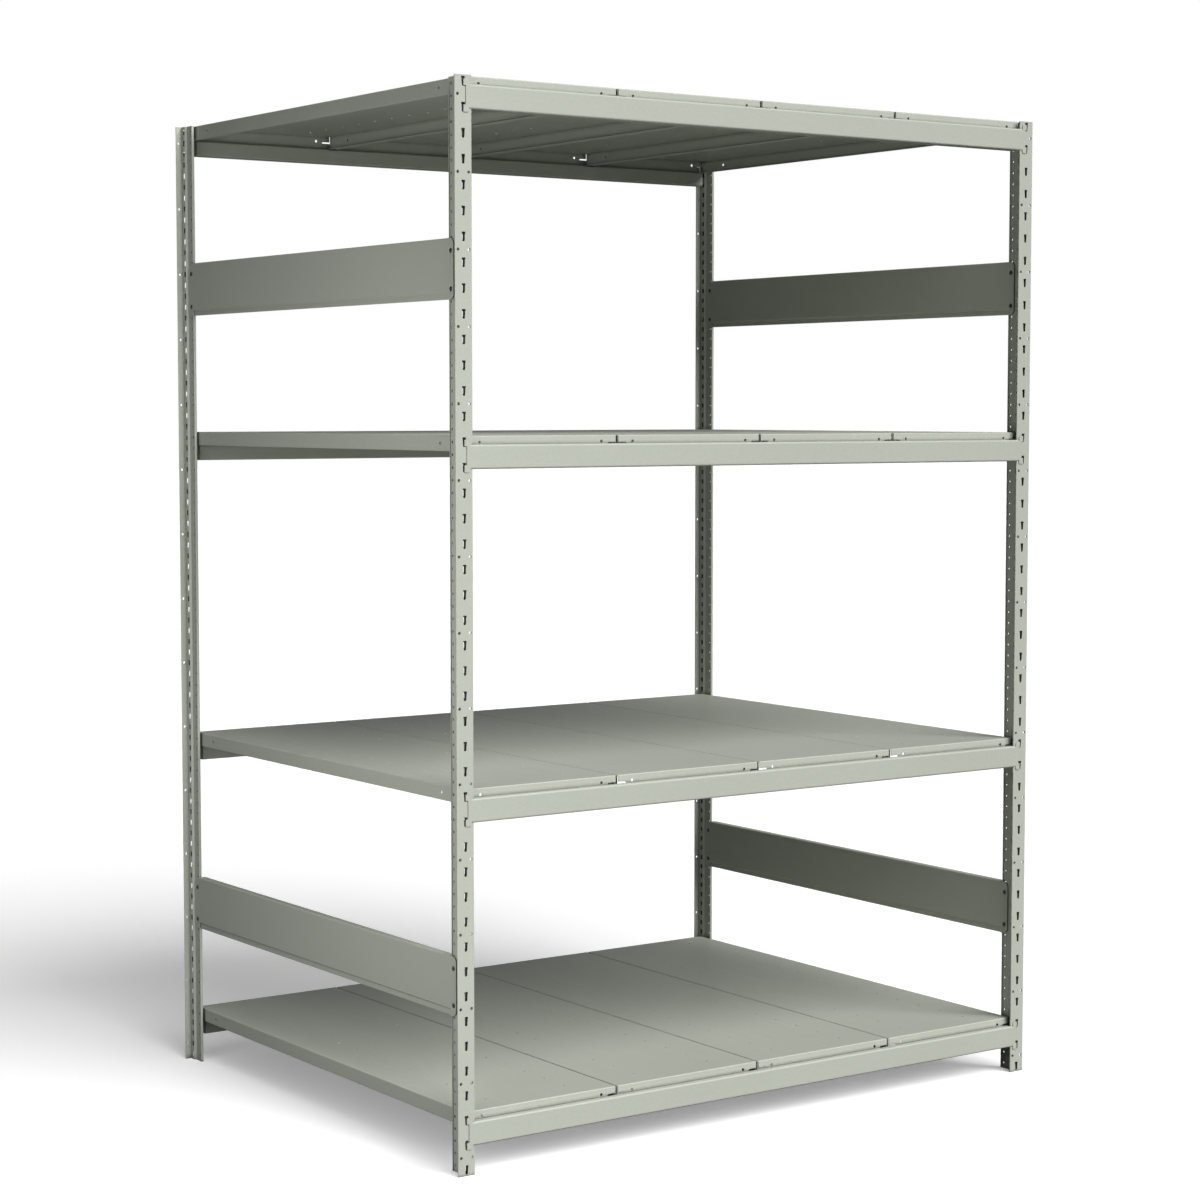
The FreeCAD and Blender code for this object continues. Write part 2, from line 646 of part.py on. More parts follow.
def export_shelf_frames():
    """Beams and the pair of connectors at the ends of each."""
    beam = make_beam()
    left_hand = make_connector()
    right_hand = placed(left_hand, mirror_x=True)
    pair = Part.makeCompound([placed(left_hand, -HALF_SPACING), placed(right_hand, HALF_SPACING)])
    for level, slot in zip(LEVEL_NAMES, shelf_slots()):
        height = slot_top(slot)
        for row, along, turned in (("front", -HALF_DEPTH, False), ("rear", HALF_DEPTH, True)):
            name = level + "_" + row
            export("beam_" + name, placed(beam, 0, along, height, half_turn=turned))
            export("connectors_" + name, placed(pair, 0, along, height, half_turn=turned))


def export_decks():
    """The decks of every level, from left to right."""
    deck = make_deck()
    for level, slot in zip(LEVEL_NAMES, shelf_slots()):
        for index in range(DECKS_PER_SHELF):
            across = (index - (DECKS_PER_SHELF - 1) / 2) * DECK_PITCH
            name = "deck_{}_{}".format(level, index + 1)
            export(name, placed(deck, across, DECK_FRONT - HALF_DEPTH, deck_top(slot)))


def export_ties():
    """Side tie panels on the left-hand face of each post web, with their screws and nuts."""
    panel = make_tie_panel()
    screws = Part.makeCompound([make_screw(y, z) for y, z in tie_screw_places()])
    nuts = Part.makeCompound([make_nut(y, z) for y, z in tie_screw_places()])
    holes = web_hole_heights()
    rows = (("high", holes[TIE_HOLES_IN + TIE_HOLE_PITCHES]), ("low", holes[-1 - TIE_HOLES_IN]))
    for side, post_across in (("left", -HALF_SPACING), ("right", HALF_SPACING)):
        across = post_across - SEAM_HALF
        for row, height in rows:
            name = side + "_" + row
            export("tie_panel_" + name, placed(panel, across, -HALF_DEPTH, height))
            export("tie_screws_" + name, placed(screws, across, -HALF_DEPTH, height))
            export("tie_nuts_" + name, placed(nuts, across, -HALF_DEPTH, height))


def main():
    """Write every node."""
    os.makedirs("parts", exist_ok=True)
    export_posts()
    export_shelf_frames()
    export_decks()
    export_ties()


main()
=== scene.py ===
"""Looks of a boltless steel shelving unit: powder-coated steel, tie panel fasteners and a studio."""

import math

import bpy
from bpy.props import FloatProperty, FloatVectorProperty, IntProperty, PointerProperty
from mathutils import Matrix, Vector


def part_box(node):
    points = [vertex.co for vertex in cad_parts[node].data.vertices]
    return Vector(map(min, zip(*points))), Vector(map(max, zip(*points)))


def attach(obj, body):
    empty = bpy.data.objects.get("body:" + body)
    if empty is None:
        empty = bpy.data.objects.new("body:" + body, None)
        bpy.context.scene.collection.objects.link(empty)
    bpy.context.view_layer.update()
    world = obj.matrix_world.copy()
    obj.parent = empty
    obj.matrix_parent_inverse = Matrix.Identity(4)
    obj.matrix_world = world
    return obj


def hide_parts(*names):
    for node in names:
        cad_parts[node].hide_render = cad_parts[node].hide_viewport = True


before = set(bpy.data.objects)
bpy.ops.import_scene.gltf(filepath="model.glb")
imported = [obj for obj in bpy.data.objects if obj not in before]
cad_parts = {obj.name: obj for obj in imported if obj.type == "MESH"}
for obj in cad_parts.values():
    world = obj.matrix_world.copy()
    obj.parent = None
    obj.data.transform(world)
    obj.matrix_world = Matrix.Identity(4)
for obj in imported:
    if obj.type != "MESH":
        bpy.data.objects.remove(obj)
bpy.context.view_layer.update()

bl_info = {
    "name": "Boltless Steel Shelving",
    "version": (1, 0, 0),
    "blender": (4, 5, 0),
    "location": "3D View > Sidebar > Shelving",
    "description": "Coats the steel of a shelving unit, fits its fasteners and sets up a studio",
    "category": "Object",
}

PANEL_SIDES = ("left_high", "left_low", "right_high", "right_low")
SCREW_NODES = ["tie_screws_" + side for side in PANEL_SIDES]
NUT_NODES = ["tie_nuts_" + side for side in PANEL_SIDES]
UNIT_BODY = "frame"

TONE_SCALE = 1.7                  # noise cells in a metre
SPECK_SCALE = 420.0
PLATING_SCALE = 1800.0
PATCH_SCALE = 3.2
WAVE_SCALE = 4.5
STREAKS_ACROSS = 90.0             # streaks in a metre of deck width
STREAKS_UPWARD = 9.0
CELL_SHARE = 0.6                  # of the fine bumps' frequency
CELL_WEIGHT = 0.4
STREAK_START, STREAK_FULL = 0.56, 0.78
EDGE_START, EDGE_FULL = 0.02, 0.25
# ambient occlusion values at which painted shade in holes and joints starts and is full
PAINTED_SHADE_OPEN, PAINTED_SHADE_SHUT = 0.75, 0.30
COAT_GLOSS_DRIFT = 0.12
PLATING_TONE_CHANGE = 0.5
PLATING_GLOSS_DRIFT = 0.3
PLATING_ROUGHNESS = 0.38
PLATING_METALLIC = 0.9
PLATING_GRAIN_DEPTH = 0.00003

HEX_SIDES = 6
HEX_TURN = math.pi / 6            # lays the corners of a nut level
CROWN_SHARE = 0.35                # of the head's height
CROWN_NARROWING = 0.82
SOCKET_SHARE = 0.6
POINT_SHARE = 0.15                # of the shank's diameter
POINT_NARROWING = 0.75
NUT_BEVEL_SHARE = 0.14
NUT_NARROWING = 0.9

STUDIO_REACH = 60.0
FLOOR_ROUGHNESS = 0.9
FLOOR_SPECULAR = 0.1
KEY_TOWARDS = (0.15, -0.76, 0.63)
BACK_TOWARDS = (0.35, 0.85, 0.40)
FILL_PLACE = (-1.8, -0.6, 0.9)
FILL_TOWARDS = (-1.0, -0.3, 0.0)
FILL_WIDTH, FILL_HEIGHT = 1.6, 2.4
SENSOR_WIDTH = 36.0
WHITE = (1.0, 1.0, 1.0, 1.0)


# ------------------------------------------------------------------ settings
class CoatSettings(bpy.types.PropertyGroup):
    """Powder coat that every sheet steel part wears."""

    colour: FloatVectorProperty(
        name="Coat colour", description="Colour of the powder coat", subtype="COLOR",
        size=3, min=0.0, max=1.0, default=(0.40, 0.422, 0.366),
    )
    roughness: FloatProperty(
        name="Roughness", description="Dullness of the coat: 0 is a mirror and 1 is chalk",
        default=0.42, min=0.0, max=1.0, subtype="FACTOR",
    )
    grain_size: FloatProperty(
        name="Grain size", description="Width of the bumps in the coat's orange-peel surface",
        default=0.0022, min=0.0005, max=0.02, unit="LENGTH",
    )
    grain_depth: FloatProperty(
        name="Grain depth", description="Height of the orange-peel bumps",
        default=0.00004, min=0.0, max=0.001, precision=6, unit="LENGTH",
    )
    tone_change: FloatProperty(
        name="Tone change", description="How much the coat's lightness drifts over a part",
        default=0.10, min=0.0, max=0.5, subtype="FACTOR",
    )
    speck: FloatProperty(
        name="Speck", description="How strongly single grains of the coat differ in lightness",
        default=0.22, min=0.0, max=1.0, subtype="FACTOR",
    )
    edge_width: FloatProperty(
        name="Edge width", description="Radius over which a cut edge is softened by the coat",
        default=0.0006, min=0.0001, max=0.005, precision=5, unit="LENGTH",
    )
    edge_lift: FloatProperty(
        name="Edge lift", description="How much lighter the coat is where it thins over an edge",
        default=0.06, min=0.0, max=1.0, subtype="FACTOR",
    )
    # reach of the ambient occlusion that paints shade into holes and joints
    painted_shade_reach: FloatProperty(
        name="Crevice reach", description="Widest gap that counts as a crevice",
        default=0.016, min=0.001, max=0.1, precision=4, unit="LENGTH",
    )
    # painted shade: how strongly the coat colour is darkened deep inside a hole or a joint
    painted_shade_depth: FloatProperty(
        name="Crevice depth", description="How much darker the coat is deep inside a hole or a joint",
        default=0.85, min=0.0, max=1.0, subtype="FACTOR",
    )


class DeckSettings(bpy.types.PropertyGroup):
    """Marks that only the decks carry."""

    scuff_strength: FloatProperty(
        name="Scuff strength", description="How strongly sliding boxes have polished the decks",
        default=0.10, min=0.0, max=1.0, subtype="FACTOR",
    )
    scuff_length: FloatProperty(
        name="Scuff length", description="Length of a scuff, from front to rear",
        default=0.25, min=0.02, max=2.0, unit="LENGTH",
    )
    sheet_wave: FloatProperty(
        name="Sheet wave", description="Height of the slow waves that a flat thin sheet shows in gloss",
        default=0.0004, min=0.0, max=0.005, precision=5, unit="LENGTH",
    )


class FastenerSettings(bpy.types.PropertyGroup):
    """Screws and nuts that hold the tie panels."""

    colour: FloatVectorProperty(
        name="Metal colour", description="Colour of the dark zinc plating", subtype="COLOR",
        size=3, min=0.0, max=1.0, default=(0.13, 0.13, 0.125),
    )
    head_diameter: FloatProperty(
        name="Head diameter", description="Outside diameter of a screw head",
        default=0.0084, min=0.004, max=0.02, precision=4, unit="LENGTH",
    )
    head_height: FloatProperty(
        name="Head height", description="Height of a screw head",
        default=0.0022, min=0.001, max=0.01, precision=4, unit="LENGTH",
    )
    shank_diameter: FloatProperty(
        name="Shank diameter", description="Outside diameter of the thread",
        default=0.0048, min=0.002, max=0.01, precision=4, unit="LENGTH",
    )
    socket_width: FloatProperty(
        name="Socket width", description="Width of the hexagon socket across its corners",
        default=0.0034, min=0.001, max=0.01, precision=4, unit="LENGTH",
    )
    nut_width: FloatProperty(
        name="Nut width", description="Width of a nut across its corners",
        default=0.0092, min=0.004, max=0.02, precision=4, unit="LENGTH",
    )
    facets: IntProperty(
        name="Round facets", description="Number of sides on every round piece of a fastener",
        default=24, min=8, max=64,
    )


class StudioSettings(bpy.types.PropertyGroup):
    """Floor, light and camera."""

    floor_colour: FloatVectorProperty(
        name="Floor colour", description="Colour of the studio floor", subtype="COLOR",
        size=3, min=0.0, max=1.0, default=(0.86, 0.86, 0.86),
    )
    floor_bounce: FloatProperty(
        name="Floor bounce", description="Share of the light that the floor throws back up under the shelves",
        default=0.08, min=0.0, max=1.0, subtype="FACTOR",
    )
    floor_lift: FloatProperty(
        name="Floor lift", description="How much the floor is brightened towards the white of the room",
        default=0.28, min=0.0, max=1.0, subtype="FACTOR",
    )
    key_strength: FloatProperty(
        name="Key light", description="Strength of the soft light from the front and above",
        default=4.8, min=0.0, max=20.0,
    )
    fill_power: FloatProperty(
        name="Fill light", description="Power of the softbox to the left of the unit, in watts",
        default=18.5, min=0.0, max=500.0,
    )
    back_strength: FloatProperty(
        name="Back light", description="Strength of the weak light from behind and the right",
        default=0.12, min=0.0, max=20.0,
    )
    key_softness: FloatProperty(
        name="Key softness", description="Angle that the key light fills",
        default=math.radians(55), min=0.0, max=math.pi, subtype="ANGLE",
    )
    room_strength: FloatProperty(
        name="Room light", description="Strength of the even light from all round",
        default=0.022, min=0.0, max=5.0,
    )
    lens: FloatProperty(
        name="Lens", description="Focal length on a 36 mm wide sensor, in millimetres",
        default=81.1, min=10.0, max=300.0,
    )
    camera_turn: FloatProperty(
        name="Camera turn", description="Direction the camera looks in, from straight back towards the right",
        default=0.6111, min=-math.pi, max=math.pi, subtype="ANGLE",
    )
    camera_tilt: FloatProperty(
        name="Camera tilt", description="Angle at which the camera looks down",
        default=0.0699, min=-1.5, max=1.5, subtype="ANGLE",
    )
    camera_place: FloatVectorProperty(
        name="Camera place", description="Where the camera stands", subtype="TRANSLATION",
        size=3, unit="LENGTH", default=(-3.6312, -5.1823, 1.5483),
    )


# ------------------------------------------------------------------ node helpers
def add_node(tree, kind, **values):
    """New node in a tree, with the given settings."""
    node = tree.nodes.new(kind)
    for name, value in values.items():
        setattr(node, name, value)
    return node


def join(tree, source, target):
    """Link from an output socket to an input socket."""
    tree.links.new(source, target)


def calculate(tree, operation, first, second):
    """Output of a Math node on two sockets or numbers."""
    node = add_node(tree, "ShaderNodeMath", operation=operation)
    for socket, value in zip(node.inputs, (first, second)):
        if isinstance(value, (int, float)):
            socket.default_value = value
        else:
            join(tree, value, socket)
    return node.outputs[0]


def new_group(name, inputs, outputs):
    """Shader node group with named sockets, and its input and output nodes."""
    group = bpy.data.node_groups.new(name, "ShaderNodeTree")
    for label, kind, value in inputs:
        socket = group.interface.new_socket(name=label, in_out="INPUT", socket_type=kind)
        if value is not None:
            socket.default_value = value
    for label, kind in outputs:
        group.interface.new_socket(name=label, in_out="OUTPUT", socket_type=kind)
    return group, add_node(group, "NodeGroupInput"), add_node(group, "NodeGroupOutput")


def place_group(tree, group, **values):
    """Node that uses a group, with its inputs set by name (underscores stand for spaces)."""
    node = add_node(tree, "ShaderNodeGroup", node_tree=group)
    for name, value in values.items():
        socket = node.inputs[name.replace("_", " ")]
        if isinstance(value, bpy.types.NodeSocket):
            join(tree, value, socket)
        else:
            socket.default_value = value
    return node


# ------------------------------------------------------------------ shared effects
def orange_peel_group():
    """Height of the powder coat's fine rounded bumps."""
    name = "Orange peel"
    if name in bpy.data.node_groups:
        return bpy.data.node_groups[name]
    inputs = [("Place", "NodeSocketVector", None), ("Size", "NodeSocketFloat", 0.002)]
    group, given, result = new_group(name, inputs, [("Height", "NodeSocketFloat")])
    frequency = calculate(group, "DIVIDE", 1.0, given.outputs["Size"])
    fine = add_node(group, "ShaderNodeTexNoise")
    fine.inputs["Detail"].default_value = 2.0
    fine.inputs["Roughness"].default_value = 0.45
    join(group, given.outputs["Place"], fine.inputs["Vector"])
    join(group, frequency, fine.inputs["Scale"])
    cells = add_node(group, "ShaderNodeTexVoronoi", feature="SMOOTH_F1")
    cells.inputs["Smoothness"].default_value = 1.0
    join(group, given.outputs["Place"], cells.inputs["Vector"])
    join(group, calculate(group, "MULTIPLY", frequency, CELL_SHARE), cells.inputs["Scale"])
    rounded = calculate(group, "MULTIPLY", cells.outputs["Distance"], CELL_WEIGHT)
    height = calculate(group, "ADD", fine.outputs["Fac"], rounded)
    join(group, height, result.inputs["Height"])
    return group


def coat_tone_group():
    """Slow drift of a coat's lightness and gloss over a part."""
    name = "Coat tone"
    if name in bpy.data.node_groups:
        return bpy.data.node_groups[name]
    inputs = [
        ("Place", "NodeSocketVector", None),
        ("Colour", "NodeSocketColor", (0.5, 0.5, 0.5, 1.0)),
        ("Change", "NodeSocketFloat", 0.05),
        ("Speck", "NodeSocketFloat", 0.1),
        ("Edge", "NodeSocketFloat", 0.0),
        ("Edge Lift", "NodeSocketFloat", 0.2),
    ]
    outputs = [("Colour", "NodeSocketColor"), ("Gloss Drift", "NodeSocketFloat")]
    group, given, result = new_group(name, inputs, outputs)
    slow = add_node(group, "ShaderNodeTexNoise")
    slow.inputs["Scale"].default_value = TONE_SCALE
    slow.inputs["Detail"].default_value = 3.0
    join(group, given.outputs["Place"], slow.inputs["Vector"])
    speck = add_node(group, "ShaderNodeTexNoise")
    speck.inputs["Scale"].default_value = SPECK_SCALE
    speck.inputs["Detail"].default_value = 2.0
    join(group, given.outputs["Place"], speck.inputs["Vector"])
    centred = calculate(group, "SUBTRACT", slow.outputs["Fac"], 0.5)
    grains = calculate(group, "SUBTRACT", speck.outputs["Fac"], 0.5)
    grains = calculate(group, "MULTIPLY", grains, given.outputs["Speck"])
    drift = calculate(group, "ADD", calculate(group, "MULTIPLY", centred, given.outputs["Change"]), grains)
    lift = calculate(group, "MULTIPLY", given.outputs["Edge"], given.outputs["Edge Lift"])
    level = calculate(group, "ADD", calculate(group, "ADD", drift, lift), 1.0)
    scale = add_node(group, "ShaderNodeVectorMath", operation="SCALE")
    join(group, given.outputs["Colour"], scale.inputs[0])
    join(group, level, scale.inputs["Scale"])
    join(group, scale.outputs[0], result.inputs["Colour"])
    join(group, centred, result.inputs["Gloss Drift"])
    return group


def soft_edge_group():
    """Normal rounded over cut edges, and a mask of those edges."""
    name = "Soft edge"
    if name in bpy.data.node_groups:
        return bpy.data.node_groups[name]
    inputs = [("Width", "NodeSocketFloat", 0.0006)]
    outputs = [("Normal", "NodeSocketVector"), ("Edge", "NodeSocketFloat")]
    group, given, result = new_group(name, inputs, outputs)
    round_over = add_node(group, "ShaderNodeBevel", samples=4)
    join(group, given.outputs["Width"], round_over.inputs["Radius"])
    flat = add_node(group, "ShaderNodeNewGeometry")
    likeness = add_node(group, "ShaderNodeVectorMath", operation="DOT_PRODUCT")
    join(group, round_over.outputs["Normal"], likeness.inputs[0])
    join(group, flat.outputs["Normal"], likeness.inputs[1])
    turn = calculate(group, "SUBTRACT", 1.0, likeness.outputs["Value"])
    mask = add_node(group, "ShaderNodeMapRange")
    mask.inputs["From Min"].default_value = EDGE_START
    mask.inputs["From Max"].default_value = EDGE_FULL
    join(group, turn, mask.inputs["Value"])
    join(group, round_over.outputs["Normal"], result.inputs["Normal"])
    join(group, mask.outputs["Result"], result.inputs["Edge"])
    return group


def painted_crevice_shade_group():
    """Colour darkened inside holes, slots and narrow joints by ambient occlusion: painted shade where little
    light reaches.
    """
    name = "Crevice shade"
    if name in bpy.data.node_groups:
        return bpy.data.node_groups[name]
    inputs = [
        ("Colour", "NodeSocketColor", (0.5, 0.5, 0.5, 1.0)),
        ("Reach", "NodeSocketFloat", 0.012),
        ("Depth", "NodeSocketFloat", 0.5),
    ]
    group, given, result = new_group(name, inputs, [("Colour", "NodeSocketColor")])
    # painted shade: the less open a spot is to its surroundings, the darker its colour
    openness = add_node(group, "ShaderNodeAmbientOcclusion", samples=4)
    join(group, given.outputs["Reach"], openness.inputs["Distance"])
    shut = add_node(group, "ShaderNodeMapRange")
    shut.inputs["From Min"].default_value = PAINTED_SHADE_OPEN
    shut.inputs["From Max"].default_value = PAINTED_SHADE_SHUT
    join(group, openness.outputs["AO"], shut.inputs["Value"])
    loss = calculate(group, "MULTIPLY", shut.outputs["Result"], given.outputs["Depth"])
    scale = add_node(group, "ShaderNodeVectorMath", operation="SCALE")
    join(group, given.outputs["Colour"], scale.inputs[0])
    join(group, calculate(group, "SUBTRACT", 1.0, loss), scale.inputs["Scale"])
    join(group, scale.outputs[0], result.inputs["Colour"])
    return group


def scuff_group():
    """Faint streaks from front to rear, where goods have been slid over a deck."""
    name = "Sliding scuffs"
    if name in bpy.data.node_groups:
        return bpy.data.node_groups[name]
    inputs = [("Place", "NodeSocketVector", None), ("Length", "NodeSocketFloat", 0.25)]
    outputs = [("Scuff", "NodeSocketFloat"), ("Wave", "NodeSocketFloat")]
    group, given, result = new_group(name, inputs, outputs)
    stretch = add_node(group, "ShaderNodeCombineXYZ")
    stretch.inputs["X"].default_value = STREAKS_ACROSS
    join(group, calculate(group, "DIVIDE", 1.0, given.outputs["Length"]), stretch.inputs["Y"])
    stretch.inputs["Z"].default_value = STREAKS_UPWARD
    drawn = add_node(group, "ShaderNodeVectorMath", operation="MULTIPLY")
    join(group, given.outputs["Place"], drawn.inputs[0])
    join(group, stretch.outputs[0], drawn.inputs[1])
    streaks = add_node(group, "ShaderNodeTexNoise")
    streaks.inputs["Scale"].default_value = 1.0
    streaks.inputs["Detail"].default_value = 4.0
    streaks.inputs["Distortion"].default_value = 0.3
    join(group, drawn.outputs[0], streaks.inputs["Vector"])
    patches = add_node(group, "ShaderNodeTexNoise")
    patches.inputs["Scale"].default_value = PATCH_SCALE
    patches.inputs["Detail"].default_value = 2.0
    join(group, given.outputs["Place"], patches.inputs["Vector"])
    cut = add_node(group, "ShaderNodeMapRange")
    cut.inputs["From Min"].default_value = STREAK_START
    cut.inputs["From Max"].default_value = STREAK_FULL
    join(group, streaks.outputs["Fac"], cut.inputs["Value"])
    scuff = calculate(group, "MULTIPLY", cut.outputs["Result"], patches.outputs["Fac"])
    join(group, scuff, result.inputs["Scuff"])
    waves = add_node(group, "ShaderNodeTexNoise")
    waves.inputs["Scale"].default_value = WAVE_SCALE
    waves.inputs["Detail"].default_value = 1.0
    join(group, given.outputs["Place"], waves.inputs["Vector"])
    join(group, waves.outputs["Fac"], result.inputs["Wave"])
    return group


def empty_material(name):
    """Material with only a Principled BSDF joined to its output, and that shader."""
    material = bpy.data.materials.new(name)
    material.use_nodes = True
    return material, material.node_tree.nodes["Principled BSDF"]


def coat_material(name, with_scuffs=False):
    """Powder coat for one kind of part."""
    scene = bpy.context.scene
    coat = scene.shelving_coat
    material, shader = empty_material(name)
    tree = material.node_tree
    place = add_node(tree, "ShaderNodeTexCoord").outputs["Object"]
    colour = list(coat.colour) + [1.0]
    edge = place_group(tree, soft_edge_group(), Width=coat.edge_width)
    tone = place_group(
        tree, coat_tone_group(), Place=place, Colour=colour, Change=coat.tone_change, Speck=coat.speck,
        Edge=edge.outputs["Edge"], Edge_Lift=coat.edge_lift,
    )
    peel = place_group(tree, orange_peel_group(), Place=place, Size=coat.grain_size)
    bump = add_node(tree, "ShaderNodeBump")
    bump.inputs["Strength"].default_value = 1.0
    bump.inputs["Distance"].default_value = coat.grain_depth
    join(tree, peel.outputs["Height"], bump.inputs["Height"])
    join(tree, edge.outputs["Normal"], bump.inputs["Normal"])
    colour_socket = tone.outputs["Colour"]
    gloss = calculate(tree, "MULTIPLY", tone.outputs["Gloss Drift"], COAT_GLOSS_DRIFT)
    roughness = calculate(tree, "ADD", gloss, coat.roughness)
    if with_scuffs:
        deck = scene.shelving_deck
        scuffs = place_group(tree, scuff_group(), Place=place, Length=deck.scuff_length)
        worn = calculate(tree, "MULTIPLY", scuffs.outputs["Scuff"], deck.scuff_strength)
        level = calculate(tree, "ADD", worn, 1.0)
        scale = add_node(tree, "ShaderNodeVectorMath", operation="SCALE")
        join(tree, colour_socket, scale.inputs[0])
        join(tree, level, scale.inputs["Scale"])
        colour_socket = scale.outputs[0]
        roughness = calculate(tree, "SUBTRACT", roughness, worn)
        wave = add_node(tree, "ShaderNodeBump")
        wave.inputs["Distance"].default_value = deck.sheet_wave
        join(tree, scuffs.outputs["Wave"], wave.inputs["Height"])
        join(tree, edge.outputs["Normal"], wave.inputs["Normal"])
        join(tree, wave.outputs["Normal"], bump.inputs["Normal"])
    # painted shade: the coat colour is darkened by ambient occlusion in holes, slots and joints
    crevice = place_group(
        tree, painted_crevice_shade_group(), Colour=colour_socket, Reach=coat.painted_shade_reach, Depth=coat.painted_shade_depth,
    )
    join(tree, crevice.outputs["Colour"], shader.inputs["Base Color"])
    join(tree, roughness, shader.inputs["Roughness"])
    join(tree, bump.outputs["Normal"], shader.inputs["Normal"])
    return material


def plating_material():
    """Dark zinc plating for screws and nuts."""
    name = "dark_zinc"
    if name in bpy.data.materials:
        return bpy.data.materials[name]
    material, shader = empty_material(name)
    tree = material.node_tree
    place = add_node(tree, "ShaderNodeTexCoord").outputs["Object"]
    colour = list(bpy.context.scene.shelving_fastener.colour) + [1.0]
    tone = place_group(
        tree, coat_tone_group(), Place=place, Colour=colour, Change=PLATING_TONE_CHANGE,
    )
    turned = add_node(tree, "ShaderNodeTexNoise")
    turned.inputs["Scale"].default_value = PLATING_SCALE
    join(tree, place, turned.inputs["Vector"])
    bump = add_node(tree, "ShaderNodeBump")
    bump.inputs["Distance"].default_value = PLATING_GRAIN_DEPTH
    join(tree, turned.outputs["Fac"], bump.inputs["Height"])
    join(tree, tone.outputs["Colour"], shader.inputs["Base Color"])
    gloss = calculate(tree, "MULTIPLY", tone.outputs["Gloss Drift"], PLATING_GLOSS_DRIFT)
    join(tree, calculate(tree, "ADD", gloss, PLATING_ROUGHNESS), shader.inputs["Roughness"])
    join(tree, bump.outputs["Normal"], shader.inputs["Normal"])
    shader.inputs["Metallic"].default_value = PLATING_METALLIC
    return material


def coat_nodes(prefix, material):
    """Give one material to every node of one kind."""
    names = sorted(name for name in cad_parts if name.startswith(prefix))
    if not names:
        raise RuntimeError("no node starts with " + prefix)
    for name in names:
        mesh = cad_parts[name].data
        mesh.materials.clear()
        mesh.materials.append(material)


# ------------------------------------------------------------------ fasteners
def seats(nodes, diameter):
    """Places on the low-X side of each group of four fasteners, from the boxes of their nodes."""
    places = []
    for node in nodes:
        low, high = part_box(node)
        for y in (low.y + diameter / 2, high.y - diameter / 2):
            for z in (low.z + diameter / 2, high.z - diameter / 2):
                places.append(Vector((low.x, y, z)))
    return places


class FastenerTree:
    """Geometry node tree that sets one fastener on every point of the mesh it is given."""

    def __init__(self, name, sizes):
        self.tree = bpy.data.node_groups.new(name, "GeometryNodeTree")
        self.identifiers = {}
        self.tree.interface.new_socket(name="Seats", in_out="INPUT", socket_type="NodeSocketGeometry")
        for label, value in sizes.items():
            kind = "NodeSocketInt" if isinstance(value, int) else "NodeSocketFloat"
            socket = self.tree.interface.new_socket(name=label, in_out="INPUT", socket_type=kind)
            socket.default_value = value
            self.identifiers[label] = socket.identifier
        self.tree.interface.new_socket(name="Fasteners", in_out="OUTPUT", socket_type="NodeSocketGeometry")
        self.given = add_node(self.tree, "NodeGroupInput")
        self.result = add_node(self.tree, "NodeGroupOutput")

    def size(self, label):
        """Socket that holds one of the named sizes."""
        return self.given.outputs[label]

    def feed(self, socket, value):
        """Set an input from a number or from another socket."""
        if isinstance(value, (int, float)):
            socket.default_value = value
        else:
            join(self.tree, value, socket)

    def barrel(self, sides, foot_radius, top_radius, length, start):
        """Closed round or faceted piece along +X, from x = start."""
        cone = add_node(self.tree, "GeometryNodeMeshCone", fill_type="NGON")
        self.feed(cone.inputs["Vertices"], sides)
        self.feed(cone.inputs["Radius Bottom"], foot_radius)
        self.feed(cone.inputs["Radius Top"], top_radius)
        self.feed(cone.inputs["Depth"], length)
        lay = add_node(self.tree, "GeometryNodeTransform")
        join(self.tree, cone.outputs["Mesh"], lay.inputs["Geometry"])
        lay.inputs["Rotation"].default_value = (0.0, math.pi / 2, 0.0)
        shift = add_node(self.tree, "ShaderNodeCombineXYZ")
        self.feed(shift.inputs["X"], start)
        join(self.tree, shift.outputs[0], lay.inputs["Translation"])
        return lay.outputs["Geometry"]

    def carve(self, body, *tools):
        """Body with the tools cut out of it."""
        cut = add_node(self.tree, "GeometryNodeMeshBoolean", operation="DIFFERENCE", solver="EXACT")
        join(self.tree, body, cut.inputs[0])
        for tool in tools:
            join(self.tree, tool, cut.inputs[1])
        return cut.outputs["Mesh"]

    def unite(self, *parts):
        """Several pieces as one geometry."""
        together = add_node(self.tree, "GeometryNodeJoinGeometry")
        for part in parts:
            join(self.tree, part, together.inputs[0])
        return together.outputs[0]

    def finish(self, fastener, material):
        """Set the fastener on every seat, made real and given its material."""
        set_out = add_node(self.tree, "GeometryNodeInstanceOnPoints")
        join(self.tree, self.given.outputs["Seats"], set_out.inputs["Points"])
        join(self.tree, fastener, set_out.inputs["Instance"])
        made_real = add_node(self.tree, "GeometryNodeRealizeInstances")
        join(self.tree, set_out.outputs["Instances"], made_real.inputs["Geometry"])
        dressed = add_node(self.tree, "GeometryNodeSetMaterial")
        dressed.inputs["Material"].default_value = material
        join(self.tree, made_real.outputs["Geometry"], dressed.inputs["Geometry"])
        join(self.tree, dressed.outputs["Geometry"], self.result.inputs["Fasteners"])


